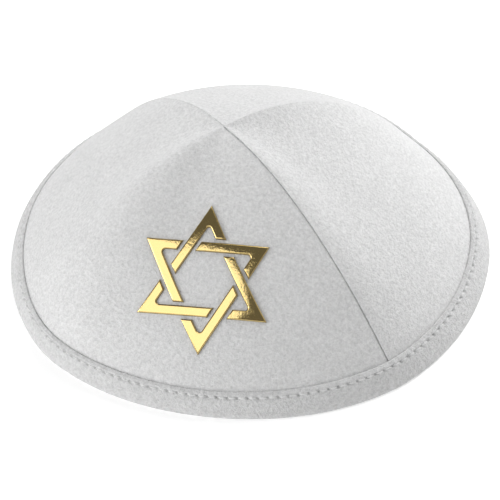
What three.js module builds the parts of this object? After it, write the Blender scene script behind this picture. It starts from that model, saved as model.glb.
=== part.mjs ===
import * as THREE from 'three';

// Skullcap of four suede panels, with a suede band folded round its rim and a six-pointed star of six
// interlaced raised gold pieces on its front panel. Millimetres, +Z up. The cap rests rim down on Z = 0,
// with the origin in the middle of the rim. The front panel faces -Y and the right panel +X.

// Crown
const RIM_DIAMETER = 165;
const CROWN_HEIGHT = 58.5;
const CROWN_WALL = 1.2;
const SEAM_GAP = 0.3;

// Band folded round the rim
const BAND_OUTER_WIDTH = 9.5;
const BAND_INNER_WIDTH = 8.5;
const BAND_WALL = 1;
const BAND_CLEARANCE = 0.3;
const FOLD_RADIUS = 1;

// Star: its rise is the distance of its middle from the crown's edge, measured up the front panel. The turn
// is to the left of the panel's middle, and the star is a little taller than it is wide.
const STAR_RADIUS = 23.4;
const STAR_BAR_WIDTH = 3.1;
const STAR_CROSSING_GAP = 1;
const STAR_THICKNESS = 0.8;
const STAR_BEVEL = 0.4;
const STAR_CORNER_RADIUS = 0.9;
const STAR_CLEARANCE = 0.3;
const STAR_RISE = 46;
const STAR_TURN_DEGREES = -2.7;
const STAR_TALLNESS = 1.03;

// Facets along and across each piece
const PANEL_COLUMNS = 14;
const PANEL_ROWS = 18;
const BAND_STEPS_PER_PANEL = 20;
const LONG_ARM_STEPS = 10;
const SHORT_ARM_STEPS = 3;
const CORNER_STEPS = 3;
const MERIDIAN_STEPS = 80;

// The crown's edge lies on this radius, one layer of the band inside the rim
const BAND_STEP = BAND_WALL + BAND_CLEARANCE;
const CROWN_RADIUS = RIM_DIAMETER / 2 - BAND_STEP;

// Curves from apex to edge, on a seam and down the flatter middle of a panel. Reaches are shares of the
// crown radius, out from the apex and in from the edge, and levels are shares of the crown height.
const SEAM_CURVE = { apexReach: 0.472, apexLevel: 1, edgeReach: 0.149, edgeLevel: 0.374 };
const MIDDLE_CURVE = { apexReach: 0.366, apexLevel: 0.889, edgeReach: 0.094, edgeLevel: 0.305 };

// The soft cap is a little uneven: edge is a share of the crown radius and swell of the crown height
const SEAMS = [
  { side: 'front right', degrees: -46.8, edge: 1.027, swell: -0.002 },
  { side: 'back right', degrees: 44.8, edge: 0.958, swell: 0.014 },
  { side: 'back left', degrees: 136.2, edge: 0.995, swell: -0.019 },
  { side: 'front left', degrees: 224.4, edge: 1.03, swell: 0.039 },
];
const PANELS = [
  { side: 'right', edge: 1.001, swell: -0.041 },
  { side: 'back', edge: 1.003, swell: -0.002 },
  { side: 'left', edge: 1.001, swell: -0.019 },
  { side: 'front', edge: 0.989, swell: -0.007 },
];
const FRONT = PANELS.findIndex(({ side }) => side === 'front');

// The apex leans to the front left, by shares of the crown height
const APEX_LEAN = { x: -0.092, y: -0.12 };

// The underside of the apex levels out within this share of the crown radius
const APEX_LEVELLING = 0.08;

// The band rounds off this share of each seam's ridge at the edge. Where a seam dips inside the rim's round
// by the second share, of the crown radius, the edge has no crease at all.
const EDGE_ROUNDING = 0.7;
const SMOOTH_DIP = 0.02;

const RADIANS = Math.PI / 180;
const { clamp, lerp } = THREE.MathUtils;

const suede = new THREE.MeshStandardMaterial({ color: 0xd9d8d6, roughness: 0.95, metalness: 0 });
const bandSuede = new THREE.MeshStandardMaterial({ color: 0xcfcecc, roughness: 0.95, metalness: 0 });
const gold = new THREE.MeshStandardMaterial({ color: 0xc9a94f, roughness: 0.25, metalness: 1 });

function bezier(start, startHandle, endHandle, end, u) {
  const v = 1 - u;
  return v ** 3 * start + 3 * v * v * u * startHandle + 3 * v * u * u * endHandle + u ** 3 * end;
}

// Radius and level of a guide curve, u from 0 at the apex to 1 at the edge
function guidePoint(guide, curve, u) {
  const edge = CROWN_RADIUS * guide.edge;
  const edgeHandle = edge - CROWN_RADIUS * curve.edgeReach;
  const swell = CROWN_HEIGHT * guide.swell * 4 * u * (1 - u);
  return {
    r: bezier(0, CROWN_RADIUS * curve.apexReach, edgeHandle, edge, u) + swell,
    z: bezier(CROWN_HEIGHT, CROWN_HEIGHT * curve.apexLevel, CROWN_HEIGHT * curve.edgeLevel, 0, u) + swell,
  };
}

// A panel is flatter than a dome, so its seams stand as soft ridges. across runs from 0 at the panel's first
// seam to 1 at its second.
function crownProfile(panel, across, u) {
  const nearSeam = across < 0.5 ? panel : (panel + 1) % SEAMS.length;
  const seam = guidePoint(SEAMS[nearSeam], SEAM_CURVE, u);
  const middle = guidePoint(PANELS[panel], MIDDLE_CURVE, u);
  const turn = (across - 0.5) * Math.PI / 2;
  const ridge = (1 / Math.cos(turn) - 1) / (Math.SQRT2 - 1);
  const smooth = (1 - Math.cos(4 * turn)) / 2;
  const rounding = clamp((middle.r - seam.r) / (CROWN_RADIUS * SMOOTH_DIP), EDGE_ROUNDING, 1);
  const weight = lerp(ridge, smooth, rounding * u ** 8);
  return { r: lerp(middle.r, seam.r, weight), z: lerp(middle.z, seam.z, weight) };
}

function panelSpan(panel) {
  const next = SEAMS[(panel + 1) % SEAMS.length].degrees;
  return (next - SEAMS[panel].degrees + 360) % 360;
}

function azimuthOf(panel, across) {
  return (SEAMS[panel].degrees + panelSpan(panel) * across) * RADIANS;
}

function place(panel, across, u, r, z) {
  const azimuth = azimuthOf(panel, across);
  const lean = CROWN_HEIGHT * Math.max(0, 1 - u);
  const x = r * Math.cos(azimuth) + APEX_LEAN.x * lean;
  const y = r * Math.sin(azimuth) + APEX_LEAN.y * lean;
  return new THREE.Vector3(x, y, z);
}

function crownPoint(panel, across, u) {
  const { r, z } = crownProfile(panel, across, u);
  return place(panel, across, u, r, z);
}

// One line from the edge up to the apex, read by distance along the crown's outer face and by depth below it
class Meridian {
  constructor(panel, across) {
    this.panel = panel;
    this.across = across;
    this.samples = [];
    for (let i = 0; i <= MERIDIAN_STEPS; i += 1) {
      const u = 1 - i / MERIDIAN_STEPS;
      this.samples.push({ u, ...crownProfile(panel, across, u), distance: 0 });
    }
    for (let i = 1; i <= MERIDIAN_STEPS; i += 1) {
      const a = this.samples[i - 1];
      const b = this.samples[i];
      b.distance = a.distance + Math.hypot(b.r - a.r, b.z - a.z);
    }
    this.samples.forEach((sample, i) => {
      const a = this.samples[Math.max(0, i - 1)];
      const b = this.samples[Math.min(MERIDIAN_STEPS, i + 1)];
      const levelling = Math.min(1, sample.r / (CROWN_RADIUS * APEX_LEVELLING));
      const outward = (b.z - a.z) * levelling;
      const upward = a.r - b.r;
      const size = Math.hypot(outward, upward);
      sample.outward = outward / size;
      sample.upward = upward / size;
    });
    this.length = this.samples[MERIDIAN_STEPS].distance;
  }

  // Below the edge the line runs on straight
  at(distance, depth) {
    let i = 1;
    while (i < MERIDIAN_STEPS && this.samples[i].distance < distance) {
      i += 1;
    }
    const a = this.samples[i - 1];
    const b = this.samples[i];
    const share = (distance - a.distance) / (b.distance - a.distance);
    const outward = lerp(a.outward, b.outward, share);
    const upward = lerp(a.upward, b.upward, share);
    return {
      u: lerp(a.u, b.u, share),
      r: lerp(a.r, b.r, share) - outward * depth,
      z: lerp(a.z, b.z, share) - upward * depth,
      slope: Math.atan2(outward, upward),
    };
  }

  // Distance at which the layer at this depth stands at a level near the edge
  distanceAtLevel(level, depth) {
    let distance = 0;
    for (let i = 0; i < 8; i += 1) {
      const point = this.at(distance, depth);
      distance += (level - point.z) / Math.sin(point.slope);
    }
    return distance;
  }

  vector(distance, depth) {
    const point = this.at(distance, depth);
    return place(this.panel, this.across, point.u, point.r, point.z);
  }
}

class Solid {
  constructor() {
    this.positions = [];
    this.indices = [];
  }

  point(vector) {
    this.positions.push(vector.x, vector.y, vector.z);
    return this.positions.length / 3 - 1;
  }

  triangle(a, b, c) {
    this.indices.push(a, b, c);
  }

  quad(a, b, c, d) {
    this.triangle(a, b, c);
    this.triangle(a, c, d);
  }

  mesh(name, material) {
    const geometry = new THREE.BufferGeometry();
    geometry.setAttribute('position', new THREE.Float32BufferAttribute(this.positions, 3));
    geometry.setIndex(this.indices);
    geometry.computeVertexNormals();
    const mesh = new THREE.Mesh(geometry, material);
    mesh.name = name;
    return mesh;
  }
}

// Share of the panel's width that half the seam gap takes at a radius
function seamInset(panel, r) {
  return Math.asin(Math.min(1, SEAM_GAP / 2 / r)) / RADIANS / panelSpan(panel);
}

// A panel: an outer and an inner grid that end in a point beside the apex. Its edge stands in the band.
function panelSolid(panel) {
  const solid = new Solid();
  const outer = [];
  const inner = [];
  const tipRadius = SEAM_GAP / 2 / Math.sin(panelSpan(panel) / 2 * RADIANS);
  const middle = new Meridian(panel, 0.5);
  for (let j = 0; j < PANEL_ROWS; j += 1) {
    const rise = j / PANEL_ROWS;
    const inset = seamInset(panel, middle.at(lerp(0, middle.length, rise), 0).r);
    outer.push([]);
    inner.push([]);
    for (let i = 0; i <= PANEL_COLUMNS; i += 1) {
      const line = new Meridian(panel, lerp(inset, 1 - inset, i / PANEL_COLUMNS));
      const top = line.length - tipRadius;
      for (const [grid, depth] of [[outer, 0], [inner, CROWN_WALL]]) {
        const bottom = line.distanceAtLevel(BAND_WALL + BAND_CLEARANCE, depth);
        grid[j].push(solid.point(line.vector(lerp(bottom, top, rise), depth)));
      }
    }
  }
  const outerTip = solid.point(middle.vector(middle.length - tipRadius, 0));
  const innerTip = solid.point(middle.vector(middle.length - tipRadius, CROWN_WALL));
  const last = PANEL_ROWS - 1;
  for (let i = 0; i < PANEL_COLUMNS; i += 1) {
    for (let j = 0; j < last; j += 1) {
      solid.quad(outer[j][i], outer[j][i + 1], outer[j + 1][i + 1], outer[j + 1][i]);
      solid.quad(inner[j][i], inner[j + 1][i], inner[j + 1][i + 1], inner[j][i + 1]);
    }
    solid.triangle(outer[last][i], outer[last][i + 1], outerTip);
    solid.triangle(inner[last][i], innerTip, inner[last][i + 1]);
    solid.quad(outer[0][i], inner[0][i], inner[0][i + 1], outer[0][i + 1]);
  }
  for (let j = 0; j < last; j += 1) {
    const end = PANEL_COLUMNS;
    solid.quad(outer[j][0], outer[j + 1][0], inner[j + 1][0], inner[j][0]);
    solid.quad(outer[j][end], inner[j][end], inner[j + 1][end], outer[j + 1][end]);
  }
  solid.quad(outer[last][0], outerTip, innerTip, inner[last][0]);
  solid.quad(outer[last][PANEL_COLUMNS], inner[last][PANEL_COLUMNS], innerTip, outerTip);
  return solid;
}

// Round of the fold between one face of the band and the flat that the cap rests on, as radii and levels
function foldArc(corner, slope, side, steps) {
  const half = side > 0 ? slope / 2 : (Math.PI - slope) / 2;
  const centre = corner - side * FOLD_RADIUS / Math.tan(half);
  const faceAngle = side > 0 ? Math.PI / 2 - slope : 3 * Math.PI / 2 - slope;
  const restAngle = side > 0 ? -Math.PI / 2 : 3 * Math.PI / 2;
  const points = [];
  for (let i = 0; i <= steps; i += 1) {
    const angle = lerp(restAngle, faceAngle, i / steps);
    const r = centre + FOLD_RADIUS * Math.cos(angle);
    const z = FOLD_RADIUS + FOLD_RADIUS * Math.sin(angle);
    points.push({ r, z });
  }
  return points;
}

// Section of the band at one meridian: it holds the panels' edges in the slot between its two leaves
function bandSection(line) {
  const outerDepth = -BAND_STEP;
  const innerDepth = CROWN_WALL + BAND_STEP;
  const slot = [-BAND_CLEARANCE, CROWN_WALL + BAND_CLEARANCE];
  const outerCorner = line.at(line.distanceAtLevel(0, outerDepth), outerDepth);
  const innerCorner = line.at(line.distanceAtLevel(0, innerDepth), innerDepth);
  const slotFloor = slot.map((depth) => line.distanceAtLevel(BAND_WALL, depth));
  const outerHalf = BAND_OUTER_WIDTH / 2;
  const innerHalf = BAND_INNER_WIDTH / 2;
  return [
    ...foldArc(outerCorner.r, outerCorner.slope, 1, 3),
    line.at(outerHalf, outerDepth),
    line.at(BAND_OUTER_WIDTH, outerDepth),
    line.at(BAND_OUTER_WIDTH, slot[0]),
    line.at(outerHalf, slot[0]),
    line.at(slotFloor[0], slot[0]),
    line.at(slotFloor[1], slot[1]),
    line.at(innerHalf, slot[1]),
    line.at(BAND_INNER_WIDTH, slot[1]),
    line.at(BAND_INNER_WIDTH, innerDepth),
    line.at(innerHalf, innerDepth),
    ...foldArc(innerCorner.r, innerCorner.slope, -1, 2).reverse(),
  ];
}

function bandSolid() {
  const solid = new Solid();
  const sections = [];
  for (let panel = 0; panel < PANELS.length; panel += 1) {
    for (let step = 0; step < BAND_STEPS_PER_PANEL; step += 1) {
      const across = step / BAND_STEPS_PER_PANEL;
      const section = bandSection(new Meridian(panel, across));
      sections.push(section.map(({ u = 1, r, z }) => solid.point(place(panel, across, u, r, z))));
    }
  }
  sections.forEach((section, n) => {
    const next = sections[(n + 1) % sections.length];
    section.forEach((point, m) => {
      const after = (m + 1) % section.length;
      solid.quad(point, next[m], next[after], section[after]);
    });
  });
  return solid;
}

// The star is drawn flat on the tangent plane at its middle and dropped along that plane's normal on to
// the front panel
const starAcross = 0.5 + STAR_TURN_DEGREES / panelSpan(FRONT);
const starU = new Meridian(FRONT, starAcross).at(STAR_RISE, 0).u;
const STEP = 1e-4;

function slopesAt(across, u) {
  const along = crownPoint(FRONT, across + STEP, u).sub(crownPoint(FRONT, across - STEP, u));
  const down = crownPoint(FRONT, across, u + STEP).sub(crownPoint(FRONT, across, u - STEP));
  return { along: along.divideScalar(2 * STEP), down: down.divideScalar(2 * STEP) };
}

function normalAt(across, u) {
  const { along, down } = slopesAt(across, u);
  return down.clone().cross(along).normalize();
}

const starMiddle = crownPoint(FRONT, starAcross, starU);
const starNormal = normalAt(starAcross, starU);
const starUp = slopesAt(starAcross, starU).down.normalize().negate();
const starRight = starUp.clone().cross(starNormal);

// Point over the front panel for a point of the flat drawing, raised above the suede
function onFrontPanel(x, y, height) {
  let across = starAcross;
  let u = starU;
  for (let i = 0; i < 6; i += 1) {
    const offset = crownPoint(FRONT, across, u).sub(starMiddle);
    const { along, down } = slopesAt(across, u);
    const missX = x - offset.dot(starRight);
    const missY = y - offset.dot(starUp);
    const alongX = along.dot(starRight);
    const alongY = along.dot(starUp);
    const downX = down.dot(starRight);
    const downY = down.dot(starUp);
    const size = alongX * downY - alongY * downX;
    across += (missX * downY - missY * downX) / size;
    u += (alongX * missY - alongY * missX) / size;
  }
  return crownPoint(FRONT, across, u).addScaledVector(normalAt(across, u), height);
}

// Where two lines of the drawing cross: each line is the direction of its normal and its distance
function crossing(degreesA, distanceA, degreesB, distanceB) {
  const a = degreesA * RADIANS;
  const b = degreesB * RADIANS;
  const size = Math.sin(b - a);
  return new THREE.Vector2(
    (distanceA * Math.sin(b) - distanceB * Math.sin(a)) / size,
    (distanceB * Math.cos(a) - distanceA * Math.cos(b)) / size,
  );
}

// Edges of one arm of the piece whose point is at the top, from the mitre at the point to the arm's end.
// The long arm crosses over one bar and stops short of the next, and the short arm stops at the first.
function armEdges(side, long, inset) {
  const half = STAR_RADIUS / 2;
  const outerDistance = half - inset;
  const innerDistance = half - STAR_BAR_WIDTH + inset;
  const face = 90 + side * 60;
  const endFace = long ? 90 + side * 120 : 90;
  const overBar = half - STAR_BAR_WIDTH - STAR_CROSSING_GAP - inset;
  const underBar = half + STAR_CROSSING_GAP + inset;
  const endDistance = long ? overBar : underBar;
  const point = new THREE.Vector2(0, 2 * outerDistance);
  const outerEnd = crossing(face, outerDistance, endFace, endDistance);
  const innerEnd = crossing(face, innerDistance, endFace, endDistance);
  const arcCentre = new THREE.Vector2(0, 2 * (half - STAR_BAR_WIDTH - STAR_CORNER_RADIUS));
  const inner = [];
  for (let i = 0; i <= CORNER_STEPS; i += 1) {
    const angle = (90 + side * 60 * i / CORNER_STEPS) * RADIANS;
    const radius = STAR_CORNER_RADIUS + inset;
    const offset = new THREE.Vector2(Math.cos(angle), Math.sin(angle)).multiplyScalar(radius);
    inner.push(arcCentre.clone().add(offset));
  }
  const straightSteps = long ? LONG_ARM_STEPS : SHORT_ARM_STEPS;
  const arcEnd = inner[CORNER_STEPS];
  for (let i = 1; i <= straightSteps; i += 1) {
    inner.push(arcEnd.clone().lerp(innerEnd, i / straightSteps));
  }
  const outer = inner.map((_, i) => point.clone().lerp(outerEnd, i / (inner.length - 1)));
  return { outer, inner };
}

// One piece of the star: upright sides from the suede to the bevel, and a bevel all round the flat top
function starPieceSolid(turn) {
  const solid = new Solid();
  const bottom = STAR_CLEARANCE;
  const shoulder = STAR_CLEARANCE + STAR_THICKNESS - STAR_BEVEL;
  const top = STAR_CLEARANCE + STAR_THICKNESS;
  const long = [armEdges(1, true, 0), armEdges(1, true, STAR_BEVEL)];
  const short = [armEdges(-1, false, 0), armEdges(-1, false, STAR_BEVEL)];
  const cosTurn = Math.cos(turn * RADIANS);
  const sinTurn = Math.sin(turn * RADIANS);
  const addPoint = (flat, height) => {
    const x = flat.x * cosTurn - flat.y * sinTurn;
    const y = (flat.x * sinTurn + flat.y * cosTurn) * STAR_TALLNESS;
    return solid.point(onFrontPanel(x, y, height));
  };
  const addSection = ([full, inset], i) => [
    addPoint(full.outer[i], bottom),
    addPoint(full.outer[i], shoulder),
    addPoint(inset.outer[i], top),
    addPoint(inset.inner[i], top),
    addPoint(full.inner[i], shoulder),
    addPoint(full.inner[i], bottom),
  ];
  const sections = [];
  for (let i = long[0].outer.length - 1; i >= 0; i -= 1) {
    sections.push(addSection(long, i));
  }
  for (let i = 1; i < short[0].outer.length; i += 1) {
    sections.push(addSection(short, i));
  }
  const first = sections[0];
  const last = sections[sections.length - 1];
  for (let n = 0; n < sections.length - 1; n += 1) {
    for (let m = 0; m < first.length; m += 1) {
      const after = (m + 1) % first.length;
      solid.quad(sections[n][m], sections[n][after], sections[n + 1][after], sections[n + 1][m]);
    }
  }
  for (let m = 1; m < first.length - 1; m += 1) {
    solid.triangle(first[0], first[m + 1], first[m]);
    solid.triangle(last[0], last[m], last[m + 1]);
  }
  return solid;
}

const STAR_PIECES = [
  { name: 'star_piece_top', turn: 0 },
  { name: 'star_piece_upper_left', turn: 60 },
  { name: 'star_piece_lower_left', turn: 120 },
  { name: 'star_piece_bottom', turn: 180 },
  { name: 'star_piece_lower_right', turn: 240 },
  { name: 'star_piece_upper_right', turn: 300 },
];

const cap = new THREE.Group();
PANELS.forEach(({ side }, panel) => cap.add(panelSolid(panel).mesh(`panel_${side}`, suede)));
cap.add(bandSolid().mesh('rim_band', bandSuede));
STAR_PIECES.forEach(({ name, turn }) => cap.add(starPieceSolid(turn).mesh(name, gold)));

export default cap;
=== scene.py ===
"""Dresses the skullcap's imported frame: suede panels, a folded and stitched band and a raised gold star."""

import math

import bpy
import numpy as np
from bpy.props import FloatProperty, FloatVectorProperty, PointerProperty
from mathutils import Matrix, Vector


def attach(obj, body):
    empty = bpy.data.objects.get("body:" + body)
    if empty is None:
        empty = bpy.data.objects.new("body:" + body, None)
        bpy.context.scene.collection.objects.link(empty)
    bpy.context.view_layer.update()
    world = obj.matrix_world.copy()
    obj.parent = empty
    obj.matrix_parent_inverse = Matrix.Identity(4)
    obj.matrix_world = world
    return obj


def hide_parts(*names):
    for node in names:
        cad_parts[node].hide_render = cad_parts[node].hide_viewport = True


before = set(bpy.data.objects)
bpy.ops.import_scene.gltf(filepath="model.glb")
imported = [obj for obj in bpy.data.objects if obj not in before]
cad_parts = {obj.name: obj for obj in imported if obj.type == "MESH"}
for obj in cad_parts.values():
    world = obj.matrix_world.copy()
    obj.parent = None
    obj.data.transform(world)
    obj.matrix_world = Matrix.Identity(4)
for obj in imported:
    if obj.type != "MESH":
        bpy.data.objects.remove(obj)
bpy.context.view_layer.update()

bl_info = {
    "name": "Suede Skullcap",
    "version": (1, 0, 0),
    "blender": (4, 5, 0),
    "location": "3D View > Sidebar > Skullcap",
    "description": "Sews a suede skullcap with a folded rim band and a raised gold star",
    "category": "Add Mesh",
}

MM = 0.001

# Curves from apex to edge, on a seam and down the flatter middle of a panel. Reaches are shares of the crown
# radius, out from the apex and in from the edge, and levels are shares of the crown height.
SEAM_CURVE = {"apex_reach": 0.472, "apex_level": 1, "edge_reach": 0.149, "edge_level": 0.374}
MIDDLE_CURVE = {"apex_reach": 0.366, "apex_level": 0.889, "edge_reach": 0.094, "edge_level": 0.305}

# edge is a share of the crown radius and swell of the crown height. rounds say how far, from 0 to 1, the
# panels before and after a seam round off its ridge. rolls say how wide their edges roll down into it, as
# shares of the wall. gap is the seam's width, a share of the crown's seam gap.
SEAMS = [
    {
        "side": "front right", "degrees": -46.8, "edge": 1.027, "swell": -0.002,
        "rounds": (0, 0.7), "rolls": (1.8, 0.3), "gap": 2,
    },
    {
        "side": "back right", "degrees": 44.8, "edge": 0.958, "swell": 0.014,
        "rounds": (0.3, 0), "rolls": (0.05, 0.05), "gap": 0.1,
    },
    {
        "side": "back left", "degrees": 136.2, "edge": 0.995, "swell": -0.019,
        "rounds": (0, 0), "rolls": (0.7, 0.7), "gap": 1.3,
    },
    {
        "side": "front left", "degrees": 224.4, "edge": 1.03, "swell": 0.039,
        "rounds": (1, 1), "rolls": (0.05, 0.05), "gap": 0.1,
    },
]

# Each panel lies between the seam of its own row and the next one. puff is how far its middle stands out
# between them, a share of the crown height.
PANELS = [
    {"side": "right", "slot": "suede", "edge": 1.001, "swell": -0.041, "puff": 0.032},
    {"side": "back", "slot": "suede", "edge": 1.003, "swell": -0.002, "puff": 0},
    {"side": "left", "slot": "suede", "edge": 1.001, "swell": -0.019, "puff": 0.016},
    {"side": "front", "slot": "suede_front", "edge": 0.989, "swell": -0.007, "puff": 0.026},
]
FRONT = [row["side"] for row in PANELS].index("front")

# The apex leans to the front left, by shares of the crown height
APEX_LEAN = (-0.092, -0.12)

# Shares of the crown radius: where the underside of the apex levels out, and how far inside the middle of a
# panel a seam ends at the rim where its ridge is quite gone there
APEX_LEVELLING = 0.08
SMOOTH_DIP = 0.02

# Least share of a ridge that is gone at the rim, and how sharply that starts towards the rim
EDGE_ROUNDING = 0.7
EDGE_ROUNDING_POWER = 8

# Rolled edges of the panels: their depth as a share of the wall
ROLL_DEPTH = 0.7

# The band's upper edge presses the panels by this depth, over this reach, in a zone of fine rows
PRESS_DEPTH = 0.06 * MM
PRESS_REACH = 0.5 * MM
PRESS_ZONE = 1.2 * MM

# Rounding and thinning of the band's edges as shares of its wall, and their seat on the panels
EDGE_ROUND = 0.45
EDGE_THINNING = 0.6
EDGE_SEAT = 0.02 * MM

# Marks of the stitches, in millimetres: the valley that they pull, its spread along the band at a hole, and
# the hole's width across the band and length along it
VALLEY_WIDTH = 0.7
HOLE_SPREAD = 0.8
HOLE_WIDTH = 0.36
HOLE_LENGTH = 0.62

# Depth of the valley between two holes as a share of its depth at one, and of a hole as a share of the pull
VALLEY_BETWEEN_HOLES = 0.55
HOLE_DEPTH = 2.4

# Height of the thread's middle over the leaf and its dive at a hole, as shares of the thread, and the share
# of a stitch over which it dives
THREAD_PROUD = 0.2
THREAD_DIVE = 1.6
THREAD_DIVE_SPREAD = 0.09

# Steps down the crown and over a panel. The crowding draws its columns towards the seams, from 0 to 1.
MERIDIAN_STEPS = 160
PANEL_COLUMNS = 120
EDGE_CROWDING = 0.9
PANEL_ROWS = 150
HIDDEN_ROWS = 7
PRESS_ROWS = 16

# Steps along the band and round its section. The stitch zone is the width of the fine rows on each side of
# the stitches, and the first row over the fold stands a share of the way up to it.
RIM_SAMPLES = 240
STEPS_PER_STITCH = 8
FOLD_STEPS = 5
FIRST_ROW = 0.08
COARSE_ROWS = 7
STITCH_ZONE = 1.3 * MM
STITCH_ROWS = 11
EDGE_ROWS = 4
THREAD_SIDES = 8

# Rounds of the two searches on the crown's surface
LEVEL_ROUNDS = 8
SEAT_ROUNDS = 6

STAR_PIECES = [
    {"name": "star_piece_top", "turn": 0},
    {"name": "star_piece_upper_left", "turn": 60},
    {"name": "star_piece_lower_left", "turn": 120},
    {"name": "star_piece_bottom", "turn": 180},
    {"name": "star_piece_lower_right", "turn": 240},
    {"name": "star_piece_upper_right", "turn": 300},
]


# Sizes and colours

def length(name, description, default):
    return FloatProperty(
        name=name, description=description, default=default, min=0, precision=5, unit="LENGTH"
    )


def colour(name, description, red, green, blue):
    return FloatVectorProperty(
        name=name, description=description, default=(red, green, blue), min=0, max=1, size=3, subtype="COLOR"
    )


class CrownSizes(bpy.types.PropertyGroup):
    rim: length("Rim diameter", "Outside of the band at the rim", 165 * MM)
    height: length("Height", "Rim to apex", 58.5 * MM)
    wall: length("Suede", "Thickness of a panel", 1.2 * MM)
    seam_gap: length("Seam gap", "Room between two panels at a seam", 0.1 * MM)


class BandSizes(bpy.types.PropertyGroup):
    outer_width: length("Outer width", "Width of the outer leaf", 9.5 * MM)
    inner_width: length("Inner width", "Width of the inner leaf", 8.5 * MM)
    wall: length("Suede", "Thickness of the band", 1 * MM)
    clearance: length("Clearance", "Room between the band and the panels", 0.3 * MM)
    fold: length("Fold", "Radius of the fold at the rim", 1 * MM)
    stitch_pitch: length("Stitch", "Length of a stitch", 3.25 * MM)
    stitch_inset: length("Stitch inset", "Stitches to the band's upper edge", 1.9 * MM)
    stitch_pull: length("Stitch pull", "Depth to which the stitches press the band", 0.28 * MM)
    thread: length("Thread", "Thickness of the thread", 0.34 * MM)


class StarSizes(bpy.types.PropertyGroup):
    radius: length("Radius", "Middle to the points", 23.4 * MM)
    bar_width: length("Bar", "Width of a bar", 3.1 * MM)
    crossing_gap: length("Crossing gap", "Room between two bars where they cross", 1 * MM)
    thickness: length("Thickness", "Height of the star over the suede", 0.8 * MM)
    bevel: length("Bevel", "Width of the bevel", 0.38 * MM)
    corner: length("Inner corner", "Radius of the inner corners", 0.9 * MM)
    rise: length("Rise", "Middle of the star to the crown's edge", 46.2 * MM)
    tallness: FloatProperty(name="Tallness", description="Height over width", default=1.02, min=0.5, max=2)
    taper: FloatProperty(name="Taper", description="Narrowing upwards", default=0.06, min=-0.5, max=0.5)
    turn: FloatProperty(
        name="Turn", description="Turn from the panel's middle", default=math.radians(-2.7), subtype="ANGLE"
    )


class CapColours(bpy.types.PropertyGroup):
    suede: colour("Suede", "Suede of the panels", 0.79, 0.79, 0.79)
    thread: colour("Thread", "Topstitching", 0.84, 0.84, 0.84)
    gold: colour("Gold", "Star", 0.95, 0.72, 0.31)
    floor: colour("Floor", "Floor that the cap stands on", 0.97, 0.97, 0.97)


SETTINGS = {
    "cap_crown": CrownSizes,
    "cap_band": BandSizes,
    "cap_star": StarSizes,
    "cap_colours": CapColours,
}


# Shape of the crown

def bezier(start, start_handle, end_handle, end, u):
    v = 1 - u
    return v**3 * start + 3 * v * v * u * start_handle + 3 * v * u * u * end_handle + u**3 * end


def lerp(a, b, share):
    return a + (b - a) * share


def shares_after(steps):
    """Even shares from 0 to 1 without the 0, one under the other."""
    return np.linspace(0, 1, steps + 1)[1:, None]


def shares_before(steps):
    """Even shares from 0 to 1 without the 1, one under the other."""
    return np.linspace(0, 1, steps + 1)[:-1, None]


def unit(vectors):
    return vectors / np.linalg.norm(vectors, axis=-1)[..., None]


def crown_radius(scene):
    return scene.cap_crown.rim / 2 - scene.cap_band.wall - scene.cap_band.clearance


def guide_point(scene, guide, curve, u):
    """Radius and level of a guide curve, u from 0 at the apex to 1 at the edge."""
    radius, height = crown_radius(scene), scene.cap_crown.height
    edge = radius * guide["edge"]
    swell = height * guide["swell"] * 4 * u * (1 - u)
    r = bezier(0, radius * curve["apex_reach"], edge - radius * curve["edge_reach"], edge, u)
    z = bezier(height, height * curve["apex_level"], height * curve["edge_level"], 0, u)
    return r + swell, z + swell


def crown_profile(scene, panel, across, u):
    """Radius and level of the crown's outer face; across is 0 at a panel's first seam and 1 at its second."""
    first_seam, second_seam = SEAMS[panel], SEAMS[(panel + 1) % len(SEAMS)]
    first = guide_point(scene, first_seam, SEAM_CURVE, u)
    second = guide_point(scene, second_seam, SEAM_CURVE, u)
    softness = np.where(across < 0.5, first_seam["rounds"][1], second_seam["rounds"][0])
    seam_r = np.where(across < 0.5, first[0], second[0])
    seam_z = np.where(across < 0.5, first[1], second[1])
    middle_r, middle_z = guide_point(scene, PANELS[panel], MIDDLE_CURVE, u)
    turn = (across - 0.5) * math.pi / 2
    ridge = (1 / np.cos(turn) - 1) / (math.sqrt(2) - 1)
    smooth = (1 - np.cos(4 * turn)) / 2
    dip = crown_radius(scene) * SMOOTH_DIP
    rounding = np.clip((middle_r - seam_r) / dip, EDGE_ROUNDING, 1)
    beside_seam = (2 * across - 1) ** 2
    weight = lerp(ridge, smooth, np.maximum(softness * beside_seam, rounding * u**EDGE_ROUNDING_POWER))
    puff = scene.cap_crown.height * PANELS[panel]["puff"] * (1 - beside_seam) * 4 * u * (1 - u)
    return lerp(middle_r, seam_r, weight) + puff, lerp(middle_z, seam_z, weight) + puff


def panel_span(panel):
    """Angle between a panel's two seams, in radians."""
    following = SEAMS[(panel + 1) % len(SEAMS)]["degrees"]
    return math.radians((following - SEAMS[panel]["degrees"]) % 360)


def place(scene, panel, across, u, r, z):
    """Points at these radii and levels, moved over by the lean of the apex."""
    azimuth = math.radians(SEAMS[panel]["degrees"]) + panel_span(panel) * across
    lean = scene.cap_crown.height * np.maximum(0, 1 - u)
    x = r * np.cos(azimuth) + APEX_LEAN[0] * lean
    y = r * np.sin(azimuth) + APEX_LEAN[1] * lean
    return np.stack(np.broadcast_arrays(x, y, z), axis=-1)


def crown_point(scene, panel, across, u):
    r, z = crown_profile(scene, panel, across, u)
    return place(scene, panel, across, u, r, z)


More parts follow.
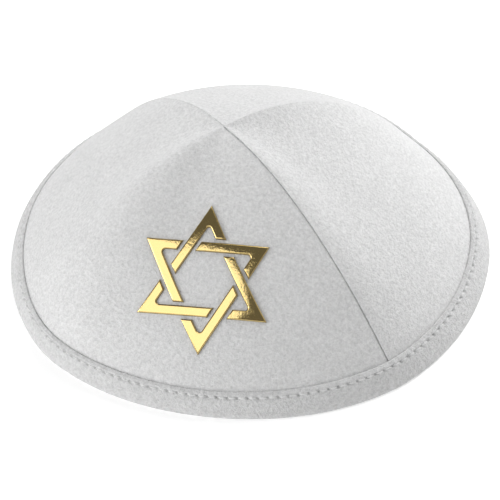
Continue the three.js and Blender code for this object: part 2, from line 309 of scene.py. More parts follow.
class Meridians:
    """Lines from the crown's edge to its apex, read by distance along its outer face and depth below it."""

    RUN_ON = 20 * MM

    def __init__(self, scene, panel, across):
        self.scene, self.panel, self.across = scene, panel, across
        u = np.linspace(1, 0, MERIDIAN_STEPS + 1)[:, None]
        r, z = crown_profile(scene, panel, across[None, :], u)
        steps = np.hypot(np.diff(r, axis=0), np.diff(z, axis=0))
        distance = np.concatenate([np.zeros((1, len(across))), np.cumsum(steps, axis=0)])
        before, after = np.r_[0, 0 : len(u) - 1], np.r_[1 : len(u), len(u) - 1]
        levelling = np.minimum(1, r / (crown_radius(scene) * APEX_LEVELLING))
        outward = (z[after] - z[before]) * levelling
        upward = r[before] - r[after]
        size = np.hypot(outward, upward)
        self.length = distance[-1]
        values = [np.broadcast_to(u, r.shape), r, z, outward / size, upward / size]
        # Below the edge each line runs on straight
        run_on = [v[:1] - (v[1:2] - v[:1]) * self.RUN_ON / distance[1:2] for v in values]
        self.values = [np.concatenate([extra, v]) for extra, v in zip(run_on, values)]
        self.distance = np.concatenate([np.full((1, len(across)), -self.RUN_ON), distance])

    def at(self, distance, depth):
        """u, radius, level and slope at distances, a row for each step up the lines."""
        distance = np.broadcast_to(distance, (distance.shape[0], len(self.across)))
        columns = [
            [np.interp(distance[:, i], self.distance[:, i], v[:, i]) for v in self.values]
            for i in range(len(self.across))
        ]
        u, r, z, outward, upward = np.moveaxis(np.array(columns), 0, -1)
        return u, r - outward * depth, z - upward * depth, np.arctan2(outward, upward)

    def distance_at_level(self, level, depth):
        """Distance at which the layer at this depth stands at a level near the edge."""
        distance = np.zeros((1, len(self.across)))
        for _ in range(LEVEL_ROUNDS):
            _, _, z, slope = self.at(distance, depth)
            distance = distance + (level - z) / np.sin(slope)
        return distance

    def points(self, distance, depth):
        u, r, z, _ = self.at(distance, depth)
        return place(self.scene, self.panel, self.across[None, :], u, r, z)


# Meshes

def grid_faces(rows, columns, start=0, around=False):
    """Quads of a grid of points; around joins its last column to the first."""
    j, i = np.mgrid[0 : rows - 1, 0 : columns - (0 if around else 1)]
    after = (i + 1) % columns
    corners = [j * columns + i, j * columns + after, (j + 1) * columns + after, (j + 1) * columns + i]
    return start + np.stack(corners, axis=-1).reshape(-1, 4)


def add_piece(name, vertices, faces, material, slot, *nodes):
    """A smooth piece that rides on the cap and stands for CAD nodes."""
    mesh = bpy.data.meshes.new(name)
    mesh.from_pydata(np.asarray(vertices).tolist(), [], [list(map(int, face)) for face in faces])
    mesh.validate()
    mesh.materials.append(material)
    mesh.shade_smooth()
    piece = bpy.data.objects.new(name, mesh)
    bpy.context.scene.collection.objects.link(piece)
    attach(piece, "root")
    if nodes:
        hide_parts(*nodes)
    return piece


# Panels

def crowded_shares(count, crowding):
    """Shares from 0 to 1 that lie closer together near both ends."""
    even = np.linspace(0, 1, count)
    return lerp(even, (1 - np.cos(math.pi * even)) / 2, crowding)


def relief_at(scene, panel, distance, from_first, from_second):
    """Height over the plain panel: its edges roll down into the seams and the band's edge presses it in."""
    wall = scene.cap_crown.wall
    relief = -PRESS_DEPTH * np.exp(-((distance - scene.cap_band.outer_width) / PRESS_REACH) ** 2)
    first, second = SEAMS[panel]["rolls"][1], SEAMS[(panel + 1) % len(SEAMS)]["rolls"][0]
    for away, roll in ((from_first, first), (from_second, second)):
        inside = np.clip(1 - away / (roll * wall), 0, 1)
        relief = relief - ROLL_DEPTH * wall * min(1, roll) * (1 - np.sqrt(1 - inside**2))
    return relief


def panel_distances(scene, bottom, top):
    """Rows up a panel, fine beside the band's edge."""
    zone_start = scene.cap_band.outer_width - PRESS_ZONE
    zone_end = scene.cap_band.outer_width + PRESS_ZONE
    hidden = lerp(bottom, zone_start, shares_before(HIDDEN_ROWS))
    pressed = np.broadcast_to(lerp(zone_start, zone_end, shares_before(PRESS_ROWS)), (PRESS_ROWS, len(top)))
    shown = lerp(zone_end, top[None, :], np.linspace(0, 1, PANEL_ROWS)[:, None])
    return np.concatenate([hidden, pressed, shown])


def panel_mesh(scene, panel):
    """Vertices and faces of one panel: outer and inner face, closed along the seams and the lower edge."""
    crown, band = scene.cap_crown, scene.cap_band
    span = panel_span(panel)
    gaps = SEAMS[panel]["gap"], SEAMS[(panel + 1) % len(SEAMS)]["gap"]
    first_gap, second_gap = (crown.seam_gap * gap / 2 for gap in gaps)
    tip = crown.seam_gap / 2 / math.sin(span / 2)
    shares = crowded_shares(PANEL_COLUMNS + 1, EDGE_CROWDING)
    lines = Meridians(scene, panel, shares)
    bottom = lines.distance_at_level(band.wall + band.clearance, 0)
    distance = panel_distances(scene, bottom, lines.length - tip)
    _, r, _, _ = lines.at(distance, 0)
    first_inset = np.arcsin(np.minimum(1, first_gap / r)) / span
    second_inset = np.arcsin(np.minimum(1, second_gap / r)) / span
    across = lerp(first_inset, 1 - second_inset, shares[None, :])
    relief = relief_at(scene, panel, distance, across * span * r, (1 - across) * span * r)
    u, outer_r, outer_z, _ = lines.at(distance, -relief)
    outer = place(scene, panel, across, u, outer_r, outer_z)
    u, inner_r, inner_z, _ = lines.at(distance, crown.wall)
    inner = place(scene, panel, across, u, inner_r, inner_z)
    rows, columns = distance.shape
    count = rows * columns
    vertices = np.concatenate([outer.reshape(-1, 3), inner.reshape(-1, 3)])
    outer_faces = grid_faces(rows, columns)
    inner_faces = grid_faces(rows, columns, count)[:, ::-1]
    ring = np.concatenate([
        np.arange(columns),
        np.arange(1, rows) * columns + columns - 1,
        (rows - 1) * columns + np.arange(columns - 2, -1, -1),
        np.arange(rows - 2, 0, -1) * columns,
    ])
    after = np.roll(ring, -1)
    side_faces = np.stack([ring, ring + count, after + count, after], axis=-1)
    return vertices, np.concatenate([outer_faces, inner_faces, side_faces])


# Band

def band_leaves(scene):
    """Width, depth and side of the band's outer and inner leaf; a side is 1 where it faces out and -1 in."""
    band = scene.cap_band
    return (
        (band.outer_width, -(band.wall + band.clearance), 1),
        (band.inner_width, scene.cap_crown.wall + band.wall + band.clearance, -1),
    )


def rim_columns(scene):
    """Columns evenly spaced along the stitch line, a whole number to a stitch, and the line's length.

    Each row has the columns of one panel: their shares across it and their places counted in stitches.
    """
    band = scene.cap_band
    width, depth, _ = band_leaves(scene)[0]
    shares = np.linspace(0, 1, RIM_SAMPLES + 1)
    reached, total = [], 0
    for panel in range(len(PANELS)):
        lines = Meridians(scene, panel, shares)
        points = lines.points(np.full((1, 1), width - band.stitch_inset), depth)[0]
        steps = np.linalg.norm(np.diff(points, axis=0), axis=1)
        reached.append(total + np.concatenate([[0], np.cumsum(steps)]))
        total = reached[-1][-1]
    count = round(total / band.stitch_pitch) * STEPS_PER_STITCH
    wanted = np.arange(count) * total / count
    columns = []
    for reach in reached:
        inside = (wanted >= reach[0]) & (wanted < reach[-1])
        across = np.interp(wanted[inside], reach, shares)
        columns.append((across, np.flatnonzero(inside) / STEPS_PER_STITCH))
    return columns, total


def half_fold(slope, side):
    """Half the angle between a face of the band and the floor."""
    return slope / 2 if side > 0 else (math.pi - slope) / 2


def fold_arc(scene, corner, slope, side):
    """Round of the fold between a face of the band and the floor, as radii and levels."""
    radius = scene.cap_band.fold
    centre = corner - side * radius / np.tan(half_fold(slope, side))
    face = math.pi / 2 - slope if side > 0 else 3 * math.pi / 2 - slope
    rest = -math.pi / 2 if side > 0 else 3 * math.pi / 2
    angle = lerp(rest, face, np.linspace(0, 1, FOLD_STEPS + 1)[:, None])
    return centre + radius * np.cos(angle), radius + radius * np.sin(angle)


def from_hole(along):
    """Stitches from the nearest hole, below 0 before it."""
    return (along + 0.5) % 1 - 0.5


def stitch_press(scene, from_line, along):
    """Depth to which the stitches press a leaf: a valley along them and a dimple at each hole."""
    band = scene.cap_band
    aside = from_line / MM
    ahead = from_hole(along) * band.stitch_pitch / MM
    pull = lerp(VALLEY_BETWEEN_HOLES, 1, np.exp(-((ahead / HOLE_SPREAD) ** 2)))
    valley = np.exp(-((aside / VALLEY_WIDTH) ** 2)) * pull
    hole = np.exp(-((aside / HOLE_WIDTH) ** 2) - (ahead / HOLE_LENGTH) ** 2)
    return band.stitch_pull * (valley + HOLE_DEPTH * hole)


def leaf_rows(scene, lines, width, depth, side, along):
    """Distances and depths up the shown face of one leaf, round its edge and down its hidden face."""
    band = scene.cap_band
    _, _, _, slope = lines.at(lines.distance_at_level(0, depth), depth)
    start = lines.distance_at_level(0, depth) + band.fold / np.tan(half_fold(slope, side))
    columns = start.shape[1]
    line = width - band.stitch_inset
    edge = band.wall * EDGE_ROUND
    coarse = lerp(start, line - STITCH_ZONE, np.linspace(FIRST_ROW, 1, COARSE_ROWS)[:, None])
    fine = lerp(line - STITCH_ZONE, line + STITCH_ZONE, shares_after(STITCH_ROWS))
    top = np.full_like(start, width - edge)
    shown = np.concatenate([coarse, np.broadcast_to(fine, (STITCH_ROWS, columns)), top])
    press = stitch_press(scene, shown - line, along[None, :])
    towards_edge = np.clip((shown - line) / (band.stitch_inset - edge), 0, 1)
    thinning = EDGE_THINNING * band.wall * towards_edge**2
    shown_depth = depth + side * (press + thinning)
    turn = shares_after(EDGE_ROWS) * math.pi / 2
    edge_depth = shown_depth[-1:] + side * edge * (1 - np.cos(turn))
    edge_distance = width - edge + edge * np.sin(turn)
    hidden = np.array([width, (width + line) / 2, line / 2])[:, None]
    hidden_depth = -EDGE_SEAT if side > 0 else scene.cap_crown.wall + EDGE_SEAT
    distance = np.concatenate([
        shown,
        np.broadcast_to(edge_distance, (EDGE_ROWS, columns)),
        np.broadcast_to(hidden, (len(hidden), columns)),
    ])
    hidden_depths = np.full((len(hidden), columns), hidden_depth)
    return distance, np.concatenate([shown_depth, edge_depth, hidden_depths])


def band_loops(scene, panel, across, along):
    """Closed sections of the band at these shares across a panel: a row for each point round the section."""
    band = scene.cap_band
    lines = Meridians(scene, panel, across)
    halves = []
    for width, depth, side in band_leaves(scene):
        _, r, _, slope = lines.at(lines.distance_at_level(0, depth), depth)
        arc_r, arc_z = fold_arc(scene, r, slope, side)
        arc = place(scene, panel, across[None, :], 1, arc_r, arc_z)
        distance, depths = leaf_rows(scene, lines, width, depth, side, along)
        leaf = lines.points(distance, depths)
        slot_depth = -band.clearance if side > 0 else scene.cap_crown.wall + band.clearance
        slot_floor = lines.points(lines.distance_at_level(band.wall, slot_depth), slot_depth)
        halves.append(np.concatenate([arc, leaf, slot_floor]))
    return np.concatenate([halves[0], halves[1][::-1]])


def band_mesh(scene):
    """Vertices and faces of the band, and its length round the rim."""
    columns, total = rim_columns(scene)
    loops = [band_loops(scene, panel, across, along) for panel, (across, along) in enumerate(columns)]
    points = np.concatenate(loops, axis=1)
    rows, count = points.shape[:2]
    faces = grid_faces(rows + 1, count, around=True) % (rows * count)
    return points.reshape(-1, 3), faces[:, ::-1], total


# Topstitching

def stitch_path(scene, panel, across, along, width, depth, side):
    """Middle line of the thread and the direction out of the leaf, at these shares across a panel."""
    band = scene.cap_band
    lines = Meridians(scene, panel, across)
    line = np.full((1, len(across)), width - band.stitch_inset)
    press = stitch_press(scene, 0, along)
    dive = THREAD_DIVE * band.thread * np.exp(-(from_hole(along) / THREAD_DIVE_SPREAD) ** 2)
    thread_depth = depth + side * (press[None, :] - THREAD_PROUD * band.thread + dive[None, :])
    path = lines.points(line, thread_depth)[0]
    below = lines.points(line, thread_depth + side * MM)[0]
    return path, (path - below) / MM


def thread_rings(path, out, thickness):
    """A ring of points round each point of a closed path."""
    ahead = unit(np.roll(path, -1, axis=0) - np.roll(path, 1, axis=0))
    aside = unit(np.cross(ahead, out))
    up = np.cross(aside, ahead)
    angle = np.linspace(0, 2 * math.pi, THREAD_SIDES, endpoint=False)[None, :, None]
    circle = np.cos(angle) * aside[:, None] + np.sin(angle) * up[:, None]
    return path[:, None] + circle * thickness / 2


def thread_mesh(scene):
    """Every topstitch on both leaves as one mesh of short tubes from hole to hole."""
    columns, _ = rim_columns(scene)
    vertices, faces, start = [], [], 0
    for leaf in band_leaves(scene):
        parts = [stitch_path(scene, panel, *marks, *leaf) for panel, marks in enumerate(columns)]
        path, out = (np.concatenate(points) for points in zip(*parts))
        rings = thread_rings(path, out, scene.cap_band.thread)
        for first in range(0, len(path), STEPS_PER_STITCH):
            chosen = (first + np.arange(STEPS_PER_STITCH + 1)) % len(path)
            vertices.append(rings[chosen].reshape(-1, 3))
            tube = grid_faces(STEPS_PER_STITCH + 1, THREAD_SIDES, start, around=True)
            faces.extend(tube.tolist())
            faces.append(list(range(start + THREAD_SIDES - 1, start - 1, -1)))
            end = start + STEPS_PER_STITCH * THREAD_SIDES
            faces.append(list(range(end, end + THREAD_SIDES)))
            start += (STEPS_PER_STITCH + 1) * THREAD_SIDES
    return np.concatenate(vertices), faces


# Star

# Section of a bar from either edge to its top, as shares of the bevel in from the edge and of the thickness
# up from the suede. The third value is how far painted shade darkens the gold there, from 0 to 1; it stands
# in for the shadow and dark reflections on the bevels and sides.
BAR_SECTION = [
    {"inset": 0, "height": 0.03, "painted_shade": 1},
    {"inset": 0, "height": 0.34, "painted_shade": 1},
    {"inset": 0.16, "height": 0.6, "painted_shade": 1},
    {"inset": 0.5, "height": 0.85, "painted_shade": 0.7},
    {"inset": 0.85, "height": 0.97, "painted_shade": 0.2},
    {"inset": 1.15, "height": 1, "painted_shade": 0},
    {"inset": 1.45, "height": 1.005, "painted_shade": 0},
]

# Rise of a bar's middle over its top, a share of the thickness
BAR_CROWN = 0.02

# Edges of the star that turn by more than this look sharp
SHARP_ANGLE = math.radians(32)

# Steps along the arms and round their inner corner, and the small step over which the panel's slope is taken
LONG_ARM_STEPS = 26
SHORT_ARM_STEPS = 9
CORNER_STEPS = 8
SURFACE_STEP = 1e-4


def panel_slopes(scene, across, u):
    """Slopes of the front panel across it and down it."""
    step = SURFACE_STEP
    aside = crown_point(scene, FRONT, across + step, u) - crown_point(scene, FRONT, across - step, u)
    down = crown_point(scene, FRONT, across, u + step) - crown_point(scene, FRONT, across, u - step)
    return aside / (2 * step), down / (2 * step)


class StarSeat:
    """Drops the flat drawing of the star on to the front panel, along the normal at the star's middle."""

    def __init__(self, scene):
        self.scene = scene
        self.across = 0.5 + scene.cap_star.turn / panel_span(FRONT)
        lines = Meridians(scene, FRONT, np.array([self.across]))
        self.u = lines.at(np.array([[scene.cap_star.rise]]), 0)[0].item()
        self.middle = crown_point(scene, FRONT, self.across, self.u)
        aside, down = panel_slopes(scene, self.across, self.u)
        normal = unit(np.cross(down, aside))
        self.up = -unit(down)
        self.right = np.cross(self.up, normal)

    def drop(self, flat, height):
        """Points over the panel for points of the drawing."""
        across = np.full(len(flat), self.across)
        u = np.full(len(flat), self.u)
        for _ in range(SEAT_ROUNDS):
            offset = crown_point(self.scene, FRONT, across, u) - self.middle
            aside, down = panel_slopes(self.scene, across, u)
            miss_x = flat[:, 0] - offset @ self.right
            miss_y = flat[:, 1] - offset @ self.up
            aside_x, aside_y = aside @ self.right, aside @ self.up
            down_x, down_y = down @ self.right, down @ self.up
            size = aside_x * down_y - aside_y * down_x
            across = across + (miss_x * down_y - miss_y * down_x) / size
            u = u + (aside_x * miss_y - aside_y * miss_x) / size
        aside, down = panel_slopes(self.scene, across, u)
        return crown_point(self.scene, FRONT, across, u) + unit(np.cross(down, aside)) * height


def crossing(degrees_a, distance_a, degrees_b, distance_b):
    """Where two lines of the drawing cross: each is the direction of its normal and its distance."""
    a, b = math.radians(degrees_a), math.radians(degrees_b)
    size = math.sin(b - a)
    x = (distance_a * math.sin(b) - distance_b * math.sin(a)) / size
    y = (distance_b * math.cos(a) - distance_a * math.cos(b)) / size
    return np.array([x, y])


def arm_edges(star, side, long, inset):
    """Outer and inner edge of one arm of the piece whose point is at the top, from the point to its end."""
    half = star.radius / 2
    outer_distance = half - inset
    inner_distance = half - star.bar_width + inset
    face = 90 + side * 60
    end_face = 90 + side * 120 if long else 90
    over_bar = half - star.bar_width - star.crossing_gap - inset
    under_bar = half + star.crossing_gap + inset
    end_distance = over_bar if long else under_bar
    point = np.array([0, 2 * outer_distance])
    outer_end = crossing(face, outer_distance, end_face, end_distance)
    inner_end = crossing(face, inner_distance, end_face, end_distance)
    arc_centre = np.array([0, 2 * (half - star.bar_width - star.corner)])
    angles = np.radians(90 + side * 60 * np.linspace(0, 1, CORNER_STEPS + 1))
    arc = arc_centre + (star.corner + inset) * np.stack([np.cos(angles), np.sin(angles)], axis=1)
    steps = LONG_ARM_STEPS if long else SHORT_ARM_STEPS
    straight = lerp(arc[-1], inner_end, shares_after(steps))
    inner = np.concatenate([arc, straight])
    outer = lerp(point, outer_end, np.linspace(0, 1, len(inner))[:, None])
    return outer, inner


def star_piece_mesh(scene, seat, turn):
    """One bent bar of the star: a long arm that passes over a bar and a short one that stops at one.

    Gives its vertices and faces, and how far painted shade darkens the gold at each vertex.
    """
    star = scene.cap_star
    angle = math.radians(turn)
    spin = np.array([[math.cos(angle), -math.sin(angle)], [math.sin(angle), math.cos(angle)]])
    outer_rows, inner_rows = [], []
    for row in BAR_SECTION:
        long_outer, long_inner = arm_edges(star, 1, True, row["inset"] * star.bevel)
        short_outer, short_inner = arm_edges(star, -1, False, row["inset"] * star.bevel)
        outer_rows.append(np.concatenate([long_outer[::-1], short_outer[1:]]))
        inner_rows.append(np.concatenate([long_inner[::-1], short_inner[1:]]))
    flat = [*outer_rows, (outer_rows[-1] + inner_rows[-1]) / 2, *inner_rows[::-1]]
    heights = [row["height"] for row in BAR_SECTION]
    heights = [*heights, 1 + BAR_CROWN, *heights[::-1]]
    rings = []
    for outline, height in zip(flat, heights):
        turned = outline @ spin.T
        turned[:, 0] *= 1 - star.taper * turned[:, 1] / star.radius
        turned[:, 1] *= star.tallness
        rings.append(seat.drop(turned, height * star.thickness))
    points = np.stack(rings)
    rows, columns = points.shape[:2]
    faces = (grid_faces(rows + 1, columns) % (rows * columns)).tolist()
    top = len(BAR_SECTION)
    for end, flip in ((0, 1), (columns - 1, -1)):
        for low in range(len(BAR_SECTION) - 1):
            high = low + 1
            quad = [low, high, rows - 1 - high, rows - 1 - low]
            faces.append([row * columns + end for row in quad[::flip]])
        faces.append([row * columns + end for row in [top - 1, top, top + 1][::flip]])
    painted_shades = [row["painted_shade"] for row in BAR_SECTION]
    return points.reshape(-1, 3), faces, np.repeat([*painted_shades, 0, *painted_shades[::-1]], columns)


# Finishes

class Value:
    """A number that varies over a surface. Sums on it add Math nodes."""

    def __init__(self, finish, socket):
        self.finish, self.socket = finish, socket

    def maths(self, operation, first, second):
        return self.finish.node("ShaderNodeMath", {"operation": operation}, {0: first, 1: second})

    def __add__(self, other):
        return self.maths("ADD", self, other)

    def __radd__(self, other):
        return self.maths("ADD", other, self)

    def __sub__(self, other):
        return self.maths("SUBTRACT", self, other)

    def __rsub__(self, other):
        return self.maths("SUBTRACT", other, self)

    def __mul__(self, other):
        return self.maths("MULTIPLY", self, other)

    def __rmul__(self, other):
        return self.maths("MULTIPLY", other, self)


class Finish:
    """A material or the sky being made, with the one method that adds a node to it."""

    def __init__(self, block):
        self.block = block
        block.use_nodes = True
        self.tree = block.node_tree
        self.tree.nodes.clear()

    def node(self, kind, settings=None, sockets=None, output=0):
        node = self.tree.nodes.new(kind)
        for name, value in (settings or {}).items():
            setattr(node, name, value)
        for name, value in (sockets or {}).items():
            if isinstance(value, Value):
                self.tree.links.new(value.socket, node.inputs[name])
            else:
                node.inputs[name].default_value = value
        return Value(self, node.outputs[output]) if node.outputs else node

    def place(self):
        return self.node("ShaderNodeTexCoord", output="Object")

    def noise(self, place, size, detail=2, roughness=0.5):
        """Smooth noise whose lumps are about this size across."""
        sockets = {"Vector": place, "Scale": 1 / size, "Detail": detail, "Roughness": roughness}
        return self.node("ShaderNodeTexNoise", sockets=sockets)

    def blend(self, share, first, second):
        """Colour from first to second; each is a colour or a Value."""
        settings = {"data_type": "RGBA", "clamp_factor": True}
        ends = [end if isinstance(end, Value) else (*end, 1) for end in (first, second)]
        return self.node("ShaderNodeMix", settings, {0: share, 6: ends[0], 7: ends[1]}, output=2)

    def bump(self, height, distance, strength=1):
        sockets = {"Strength": strength, "Distance": distance, "Height": height}
        return self.node("ShaderNodeBump", sockets=sockets)

    def surface(self, **sockets):
        names = {name.replace("_", " "): value for name, value in sockets.items()}
        shader = self.node("ShaderNodeBsdfPrincipled", sockets=names)
        self.node("ShaderNodeOutputMaterial", sockets={"Surface": shader})
        return self.block


# Sizes of the suede's nap, fibres and brushed patches, and its darkest and lightest shade, as shares of its
# colour
NAP_SIZE = 1.1 * MM
FIBRE_SIZE = 0.5 * MM
PATCH_SIZE = 14 * MM
SUEDE_SHADES = (0.85, 1.15)

# The panels' suede and the band's: depth of the nap, how mottled it is, and its shade; the band's is a little
# darker
PANEL_SUEDE = {"nap_depth": 0.55 * MM, "mottle": 2, "shade": 1}
BAND_SUEDE = {"nap_depth": 0.7 * MM, "mottle": 2.2, "shade": 0.91}

# Size and depth of the thread's unevenness, and its shades
PLY_SIZE = 0.25 * MM
PLY_DEPTH = 0.08 * MM
THREAD_SHADES = (0.92, 1.08)

# Sizes of the gold's ripples and grain, their depth, its shades and the painted shade on its edges
RIPPLE_SIZE = 2.2 * MM
GRAIN_SIZE = 0.5 * MM
RIPPLE_DEPTH = 0.06 * MM
GOLD_SHADES = (0.94, 1.04)
PAINTED_EDGE_SHADE = 0.35


def scaled(rgb, share):
    return tuple(min(1, channel * share) for channel in rgb)


def shades(rgb, shares):
    """Darkest and lightest shade of a colour."""
    return [scaled(rgb, share) for share in shares]


def suede_finish(name, rgb, nap_depth, mottle, shade):
    """Brushed suede: a short nap that catches light unevenly, with soft patches where it lies another way."""
    finish = Finish(bpy.data.materials.new(name))
    rgb = scaled(rgb, shade)
    place = finish.place()
    nap = finish.noise(place, NAP_SIZE, detail=3, roughness=0.65)
    fibres = finish.noise(place, FIBRE_SIZE, detail=2, roughness=0.6)
    patches = finish.noise(place, PATCH_SIZE, detail=2)
    tone = 0.5 + (nap - 0.5) * mottle + (fibres - 0.5) * (mottle * 0.6) + (patches - 0.5) * 0.25
    height = nap * 0.6 + fibres * 0.4
    return finish.surface(
        Base_Color=finish.blend(tone, *shades(rgb, SUEDE_SHADES)),
        Roughness=0.96 - patches * 0.06,
        Specular_IOR_Level=0.15,
        Sheen_Weight=0.12,
        Sheen_Roughness=0.5,
        Normal=finish.bump(height, nap_depth),
    )


def thread_finish(rgb):
    """Sewing thread, a little uneven where its plies twist."""
    finish = Finish(bpy.data.materials.new("thread"))
    ply = finish.noise(finish.place(), PLY_SIZE, detail=1)
    return finish.surface(
        Base_Color=finish.blend(ply, *shades(rgb, THREAD_SHADES)),
        Roughness=0.8,
        Specular_IOR_Level=0.2,
        Normal=finish.bump(ply, PLY_DEPTH),
    )


def gold_finish(rgb):
    """Polished gold-coloured metal with painted shade at its edges for their shadow and dark reflections, and
    an uneven face that breaks up reflections.
    """
    finish = Finish(bpy.data.materials.new("gold"))
    place = finish.place()
    ripple = finish.noise(place, RIPPLE_SIZE, detail=2)
    grain = finish.noise(place, GRAIN_SIZE, detail=2, roughness=0.6)
    # Painted shade: the gold darkens towards the bars' edges and sides, standing in for their shadow and dark
    # reflections
    painted_shade = finish.node("ShaderNodeAttribute", {"attribute_name": "painted_shade"}, output="Fac")
    face = finish.blend(grain, *shades(rgb, GOLD_SHADES))
    return finish.surface(
        Base_Color=finish.blend(painted_shade, face, scaled(rgb, PAINTED_EDGE_SHADE)),
        Metallic=1,
        Roughness=0.04 + grain * 0.08,
        Normal=finish.bump(ripple * 0.7 + grain * 0.3, RIPPLE_DEPTH),
    )


# Stage

# The camera stands at this angle above the floor and to the right of the front, and is rolled a little. Its
# sensor's width is in millimetres and its focal length in pixels of the 500 pixel picture.
PICTURE_PIXELS = 500
SENSOR_WIDTH = 36
CAMERA_ELEVATION = math.radians(43.195)
CAMERA_AZIMUTH = math.radians(9.981)
CAMERA_ROLL = math.radians(-2.885)
CAMERA_FOCAL_PIXELS = 2045.56
CAMERA_DISTANCE = 707.9 * MM
CAMERA_AIM = (-0.261 * MM, -2.54 * MM)
CAMERA_REACH = (0.01, 50)

# Softboxes, at one distance from the cap and of one width: direction in degrees, height and radiance
LIGHT_DISTANCE = 1.6
LIGHT_WIDTH = 0.9
LIGHTS = [
    {"name": "left", "azimuth": -60, "elevation": 20, "tall": 0.9, "glow": 5.1},
    {"name": "front", "azimuth": -20, "elevation": 43, "tall": 1.1, "glow": 1.2},
    {"name": "right", "azimuth": 110, "elevation": 20, "tall": 0.9, "glow": 1.6},
    {"name": "back", "azimuth": 150, "elevation": 20, "tall": 0.9, "glow": 3},
    {"name": "high back", "azimuth": 150, "elevation": 45, "tall": 0.9, "glow": 4.2},
    {"name": "top", "azimuth": 150, "elevation": 70, "tall": 0.9, "glow": 1.6},
]

# Glow of the studio's walls and ceiling, and the levels between which one turns into the other
WALL_GLOW = 0.2
CEILING_GLOW = 0.15
WALL_TOP = 0.35
CEILING_EDGE = 0.8

FLOOR_SIZE = 8
FLOOR_GLOW = 0.35


def direction(azimuth, elevation):
    """Away from the cap: azimuth 0 is towards the front and a quarter turn towards the right."""
    level = math.cos(elevation)
    return Vector((math.sin(azimuth) * level, -math.cos(azimuth) * level, math.sin(elevation)))


def add_camera():
    """Camera at the picture's viewing angle, aimed close to the middle of the rim."""
    back = direction(CAMERA_AZIMUTH, CAMERA_ELEVATION)
    right = Vector((math.cos(CAMERA_AZIMUTH), math.sin(CAMERA_AZIMUTH), 0))
    up = back.cross(right)
    cos_roll, sin_roll = math.cos(CAMERA_ROLL), math.sin(CAMERA_ROLL)
    picture_right = cos_roll * right + sin_roll * up
    picture_up = cos_roll * up - sin_roll * right
    aim = right * CAMERA_AIM[0] + Vector((0, 0, CAMERA_AIM[1]))
    camera = bpy.data.cameras.new("camera")
    camera.sensor_width = SENSOR_WIDTH
    camera.lens = CAMERA_FOCAL_PIXELS / PICTURE_PIXELS * SENSOR_WIDTH
    camera.clip_start, camera.clip_end = CAMERA_REACH
    holder = bpy.data.objects.new("camera", camera)
    axes = Matrix((picture_right, picture_up, back)).transposed().to_4x4()
    holder.matrix_world = Matrix.Translation(aim + back * CAMERA_DISTANCE) @ axes
    bpy.context.scene.collection.objects.link(holder)
    bpy.context.scene.camera = holder


def add_light(row):
    """Softbox that faces the cap."""
    light = bpy.data.lights.new(row["name"], "AREA")
    light.shape = "RECTANGLE"
    light.size, light.size_y = LIGHT_WIDTH, row["tall"]
    light.energy = row["glow"] * math.pi * LIGHT_WIDTH * row["tall"]
    holder = bpy.data.objects.new(row["name"], light)
    away = direction(math.radians(row["azimuth"]), math.radians(row["elevation"]))
    holder.location = away * LIGHT_DISTANCE
    holder.rotation_mode = "QUATERNION"
    holder.rotation_quaternion = away.to_track_quat("Z", "Y")
    bpy.context.scene.collection.objects.link(holder)


def add_sky():
    """Pale walls under a slightly darker ceiling."""
    world = bpy.data.worlds.new("studio")
    sky = Finish(world)
    place = sky.node("ShaderNodeTexCoord", output="Generated")
    level = sky.node("ShaderNodeSeparateXYZ", sockets={"Vector": place}, output="Z")
    spread = {"From Min": WALL_TOP, "From Max": CEILING_EDGE, "To Min": WALL_GLOW, "To Max": CEILING_GLOW}
    glow = sky.node("ShaderNodeMapRange", {"interpolation_type": "SMOOTHSTEP"}, {"Value": level, **spread})
    background = sky.node("ShaderNodeBackground", sockets={"Strength": glow})
    sky.node("ShaderNodeOutputWorld", sockets={"Surface": background})
    bpy.context.scene.world = world


def add_floor(rgb):
    """Pale floor that glows a little, so the cap's shadow stays faint."""
    half = FLOOR_SIZE / 2
    mesh = bpy.data.meshes.new("floor")
    corners = [(-half, -half, 0), (half, -half, 0), (half, half, 0), (-half, half, 0)]
    mesh.from_pydata(corners, [], [(0, 1, 2, 3)])
    finish = Finish(bpy.data.materials.new("floor"))
    glow = {"Emission_Color": (1, 1, 1, 1), "Emission_Strength": FLOOR_GLOW}
    mesh.materials.append(finish.surface(Base_Color=(*rgb, 1), Roughness=0.9, Specular_IOR_Level=0.1, **glow))
    floor = bpy.data.objects.new("floor", mesh)
    bpy.context.scene.collection.objects.link(floor)


# Operators

class SewPanels(bpy.types.Operator):
    """Sew the crown's four suede panels"""

    bl_idname = "skullcap.sew_panels"
    bl_label = "Sew Panels"

    def execute(self, context):
        scene = context.scene
        finish = suede_finish("panel suede", scene.cap_colours.suede, **PANEL_SUEDE)
        for panel, row in enumerate(PANELS):
            node = "panel_" + row["side"]
            vertices, faces = panel_mesh(scene, panel)
            piece = add_piece("suede_" + node, vertices, faces, finish, row["slot"], node)
            width = panel_span(panel) * crown_radius(scene)
        return {"FINISHED"}


class FoldBand(bpy.types.Operator):
    """Fold the suede band round the rim"""

    bl_idname = "skullcap.fold_band"
    bl_label = "Fold Band"

    def execute(self, context):
        scene = context.scene
        vertices, faces, rim = band_mesh(scene)
        finish = suede_finish("band suede", scene.cap_colours.suede, **BAND_SUEDE)
        piece = add_piece("folded_band", vertices, faces, finish, "suede_band", "rim_band")
        return {"FINISHED"}


class Topstitch(bpy.types.Operator):
    """Stitch the band through along its upper edge"""

    bl_idname = "skullcap.topstitch"
    bl_label = "Topstitch"

    def execute(self, context):
        vertices, faces = thread_mesh(context.scene)
        finish = thread_finish(tuple(context.scene.cap_colours.thread))
        add_piece("topstitching", vertices, faces, finish, "suede_band")
        return {"FINISHED"}


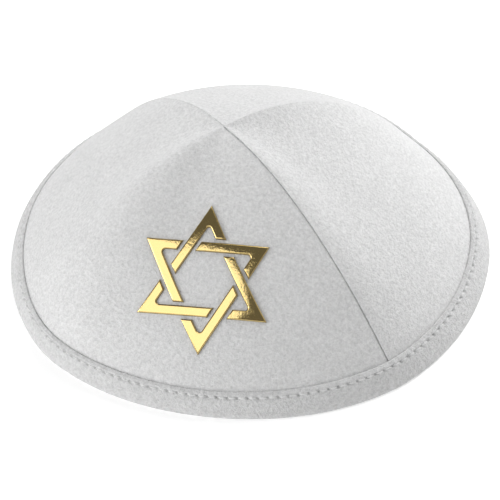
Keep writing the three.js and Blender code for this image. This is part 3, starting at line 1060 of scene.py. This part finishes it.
class SetStar(bpy.types.Operator):
    """Set the six gold pieces of the star on the front panel"""

    bl_idname = "skullcap.set_star"
    bl_label = "Set Star"

    def execute(self, context):
        scene = context.scene
        seat = StarSeat(scene)
        finish = gold_finish(tuple(scene.cap_colours.gold))
        for row in STAR_PIECES:
            vertices, faces, painted_shades = star_piece_mesh(scene, seat, row["turn"])
            piece = add_piece("gold_" + row["name"], vertices, faces, finish, "gold", row["name"])
            # Vertex attribute for the painted shade on the gold's edges and sides
            piece.data.attributes.new("painted_shade", "FLOAT", "POINT").data.foreach_set("value", painted_shades)
            piece.data.set_sharp_from_angle(angle=SHARP_ANGLE)
        return {"FINISHED"}


class SetStage(bpy.types.Operator):
    """Lay the floor and set the camera, the lights and the sky"""

    bl_idname = "skullcap.set_stage"
    bl_label = "Set Stage"

    def execute(self, context):
        context.scene.view_settings.view_transform = "Standard"
        add_camera()
        add_sky()
        for row in LIGHTS:
            add_light(row)
        add_floor(tuple(context.scene.cap_colours.floor))
        return {"FINISHED"}


STEPS = (SewPanels, FoldBand, Topstitch, SetStar, SetStage)


class SkullcapPanel(bpy.types.Panel):
    """Sizes, colours and making steps of the skullcap"""

    bl_idname = "VIEW3D_PT_skullcap"
    bl_label = "Skullcap"
    bl_space_type = "VIEW_3D"
    bl_region_type = "UI"
    bl_category = "Skullcap"

    def draw(self, context):
        for name, group in SETTINGS.items():
            box = self.layout.box()
            for key in group.__annotations__:
                box.prop(getattr(context.scene, name), key)
        for step in STEPS:
            self.layout.operator(step.bl_idname)


def register():
    for group in (*SETTINGS.values(), *STEPS, SkullcapPanel):
        bpy.utils.register_class(group)
    for name, group in SETTINGS.items():
        setattr(bpy.types.Scene, name, PointerProperty(type=group))


def unregister():
    for name in SETTINGS:
        delattr(bpy.types.Scene, name)
    for group in (SkullcapPanel, *STEPS[::-1], *tuple(SETTINGS.values())[::-1]):
        bpy.utils.unregister_class(group)


def corners(box):
    """A box as plain lists."""
    return [list(corner) for corner in box]


def main():
    register()
    bpy.ops.skullcap.sew_panels()
    bpy.ops.skullcap.fold_band()
    bpy.ops.skullcap.topstitch()
    bpy.ops.skullcap.set_star()
    bpy.ops.skullcap.set_stage()


if __name__ == "__main__":
    main()
